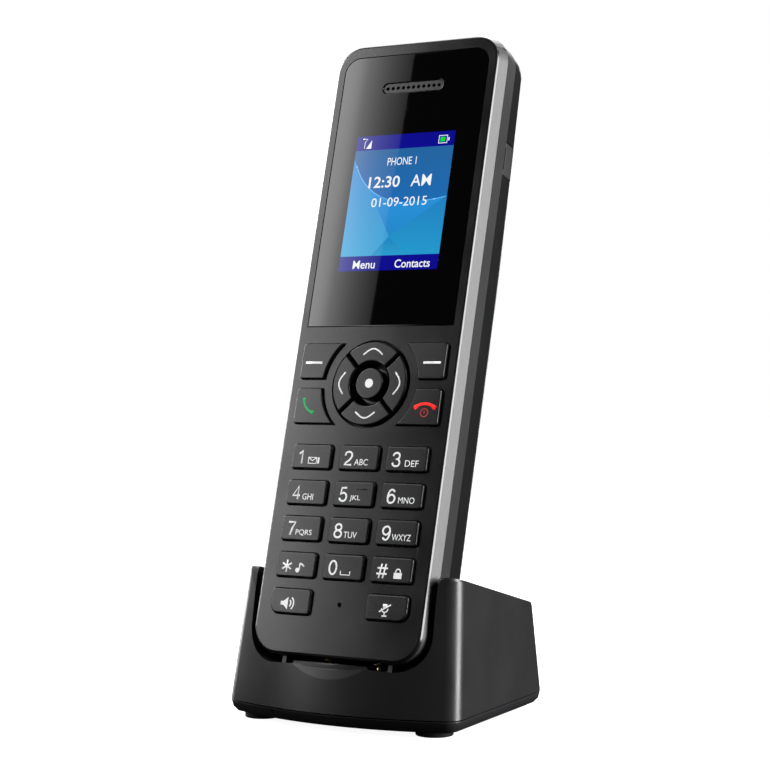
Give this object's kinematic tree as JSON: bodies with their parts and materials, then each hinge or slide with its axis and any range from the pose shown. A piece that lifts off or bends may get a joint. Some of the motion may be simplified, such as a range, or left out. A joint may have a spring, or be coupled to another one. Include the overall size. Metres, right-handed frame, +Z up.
{
  "type": "cordless phone with base",
  "caption": "Slim cordless handset with colour display, navigation ring and twelve-key pad, standing leaned back in a small charging cradle.",
  "frame": {"origin": "on the desk, in the middle of the object's footprint", "axes": "+Z up, -Y towards the user (the side of the display and keys), +X to the user's right"},
  "size_m": [0.0692, 0.0654, 0.1798],
  "materials": {
    "casing": "fine matte texture, charcoal black",
    "frame": "fine matte texture, dark grey",
    "trim": "satin silver paint",
    "lens": "high gloss black window",
    "display": "lit colour display",
    "grille": "satin dark grey",
    "keys": "soft matte charcoal with printed legends",
    "mat": "matte",
    "board": "green solder mask",
    "film": "thin film with pressed domes",
    "capsule": "satin",
    "steel": "plated",
    "gold": "gold plated",
    "cells": "printed sleeve",
    "socket": "satin black",
    "cradle": "satin black",
    "cradle_underside": "fine matte texture, black",
    "foot": "matte",
    "lead": "insulated wire"
  },
  "bodies": {
    "cradle": {"cradle_shell": "cradle", "cradle_base": "cradle_underside", "cradle_feet": "foot", "cradle_board": "board", "power_inlet": "steel", "cradle_screws": "steel", "contact_barrels": "gold", "contact_leads": "lead"},
    "handset": {"front_casing": "casing", "mid_frame": "frame", "rear_cover": "casing", "side_trim_left": "trim", "side_trim_right": "trim", "window_lens": "lens", "display_module": "display", "earpiece_grille": "grille", "earpiece_speaker": "capsule", "loudspeaker": "capsule", "microphone": "capsule", "main_board": "board", "keypad_mat": "mat", "dome_sheet": "film", "battery_cells": "cells", "battery_contacts": "steel", "charging_pads": "gold", "headset_socket": "socket", "casing_screws": "steel"},
    "charge_pin_left": {"charge_pin_left": "gold"},
    "charge_pin_right": {"charge_pin_right": "gold"},
    "battery_door": {"battery_door": "casing"},
    "headset_cover": {"headset_cover": "mat"},
    "soft_key_left": {"soft_key_left": "keys"},
    "soft_key_right": {"soft_key_right": "keys"},
    "call_key": {"call_key": "keys"},
    "end_key": {"end_key": "keys"},
    "nav_up": {"nav_up": "keys"},
    "nav_left": {"nav_left": "keys"},
    "nav_down": {"nav_down": "keys"},
    "nav_right": {"nav_right": "keys"},
    "nav_centre": {"nav_centre": "keys"},
    "key_1": {"key_1": "keys"},
    "key_2": {"key_2": "keys"},
    "key_3": {"key_3": "keys"},
    "key_4": {"key_4": "keys"},
    "key_5": {"key_5": "keys"},
    "key_6": {"key_6": "keys"},
    "key_7": {"key_7": "keys"},
    "key_8": {"key_8": "keys"},
    "key_9": {"key_9": "keys"},
    "key_star": {"key_star": "keys"},
    "key_0": {"key_0": "keys"},
    "key_hash": {"key_hash": "keys"},
    "speaker_key": {"speaker_key": "keys"},
    "mute_key": {"mute_key": "keys"}
  },
  "joints": [
    {"name": "handset_lift", "type": "slide", "parent": "cradle", "child": "handset", "axis": [0, 0.2588, 0.9659], "range_m": [0, 0.06]},
    {"name": "battery_door_tilt", "type": "hinge", "parent": "handset", "child": "battery_door", "pos_m": [0, -0.00013, 0.04006], "axis": [-1, 0, 0], "range_deg": [0, 60]},
    {"name": "cover_swing", "type": "hinge", "parent": "handset", "child": "headset_cover", "pos_m": [0.0254, 0.02083, 0.14532], "axis": [0, 0.2588, 0.9659], "range_deg": [0, 105]},
    {"name": "charge_pin_left_press", "type": "slide", "parent": "cradle", "child": "charge_pin_left", "axis": [0, 0.2588, 0.9659], "range_m": [-0.0008, 0], "stiffness_N_per_m": 500},
    {"name": "charge_pin_right_press", "type": "slide", "parent": "cradle", "child": "charge_pin_right", "axis": [0, 0.2588, 0.9659], "range_m": [-0.0008, 0], "stiffness_N_per_m": 500},
    {"name": "soft_key_left_press", "type": "slide", "parent": "handset", "child": "soft_key_left", "axis": [0, 0.9659, -0.2588], "range_m": [0, 0.0004], "stiffness_N_per_m": 1200},
    {"name": "soft_key_right_press", "type": "slide", "parent": "handset", "child": "soft_key_right", "axis": [0, 0.9659, -0.2588], "range_m": [0, 0.0004], "stiffness_N_per_m": 1200},
    {"name": "call_key_press", "type": "slide", "parent": "handset", "child": "call_key", "axis": [0, 0.9659, -0.2588], "range_m": [0, 0.0004], "stiffness_N_per_m": 1200},
    {"name": "end_key_press", "type": "slide", "parent": "handset", "child": "end_key", "axis": [0, 0.9659, -0.2588], "range_m": [0, 0.0004], "stiffness_N_per_m": 1200},
    {"name": "nav_up_press", "type": "slide", "parent": "handset", "child": "nav_up", "axis": [0, 0.9659, -0.2588], "range_m": [0, 0.0004], "stiffness_N_per_m": 1200},
    {"name": "nav_left_press", "type": "slide", "parent": "handset", "child": "nav_left", "axis": [0, 0.9659, -0.2588], "range_m": [0, 0.0004], "stiffness_N_per_m": 1200},
    {"name": "nav_down_press", "type": "slide", "parent": "handset", "child": "nav_down", "axis": [0, 0.9659, -0.2588], "range_m": [0, 0.0004], "stiffness_N_per_m": 1200},
    {"name": "nav_right_press", "type": "slide", "parent": "handset", "child": "nav_right", "axis": [0, 0.9659, -0.2588], "range_m": [0, 0.0004], "stiffness_N_per_m": 1200},
    {"name": "nav_centre_press", "type": "slide", "parent": "handset", "child": "nav_centre", "axis": [0, 0.9659, -0.2588], "range_m": [0, 0.0004], "stiffness_N_per_m": 1200},
    {"name": "key_1_press", "type": "slide", "parent": "handset", "child": "key_1", "axis": [0, 0.9659, -0.2588], "range_m": [0, 0.0004], "stiffness_N_per_m": 1200},
    {"name": "key_2_press", "type": "slide", "parent": "handset", "child": "key_2", "axis": [0, 0.9659, -0.2588], "range_m": [0, 0.0004], "stiffness_N_per_m": 1200},
    {"name": "key_3_press", "type": "slide", "parent": "handset", "child": "key_3", "axis": [0, 0.9659, -0.2588], "range_m": [0, 0.0004], "stiffness_N_per_m": 1200},
    {"name": "key_4_press", "type": "slide", "parent": "handset", "child": "key_4", "axis": [0, 0.9659, -0.2588], "range_m": [0, 0.0004], "stiffness_N_per_m": 1200},
    {"name": "key_5_press", "type": "slide", "parent": "handset", "child": "key_5", "axis": [0, 0.9659, -0.2588], "range_m": [0, 0.0004], "stiffness_N_per_m": 1200},
    {"name": "key_6_press", "type": "slide", "parent": "handset", "child": "key_6", "axis": [0, 0.9659, -0.2588], "range_m": [0, 0.0004], "stiffness_N_per_m": 1200},
    {"name": "key_7_press", "type": "slide", "parent": "handset", "child": "key_7", "axis": [0, 0.9659, -0.2588], "range_m": [0, 0.0004], "stiffness_N_per_m": 1200},
    {"name": "key_8_press", "type": "slide", "parent": "handset", "child": "key_8", "axis": [0, 0.9659, -0.2588], "range_m": [0, 0.0004], "stiffness_N_per_m": 1200},
    {"name": "key_9_press", "type": "slide", "parent": "handset", "child": "key_9", "axis": [0, 0.9659, -0.2588], "range_m": [0, 0.0004], "stiffness_N_per_m": 1200},
    {"name": "key_star_press", "type": "slide", "parent": "handset", "child": "key_star", "axis": [0, 0.9659, -0.2588], "range_m": [0, 0.0004], "stiffness_N_per_m": 1200},
    {"name": "key_0_press", "type": "slide", "parent": "handset", "child": "key_0", "axis": [0, 0.9659, -0.2588], "range_m": [0, 0.0004], "stiffness_N_per_m": 1200},
    {"name": "key_hash_press", "type": "slide", "parent": "handset", "child": "key_hash", "axis": [0, 0.9659, -0.2588], "range_m": [0, 0.0004], "stiffness_N_per_m": 1200},
    {"name": "speaker_key_press", "type": "slide", "parent": "handset", "child": "speaker_key", "axis": [0, 0.9659, -0.2588], "range_m": [0, 0.0004], "stiffness_N_per_m": 1200},
    {"name": "mute_key_press", "type": "slide", "parent": "handset", "child": "mute_key", "axis": [0, 0.9659, -0.2588], "range_m": [0, 0.0004], "stiffness_N_per_m": 1200}
  ]
}
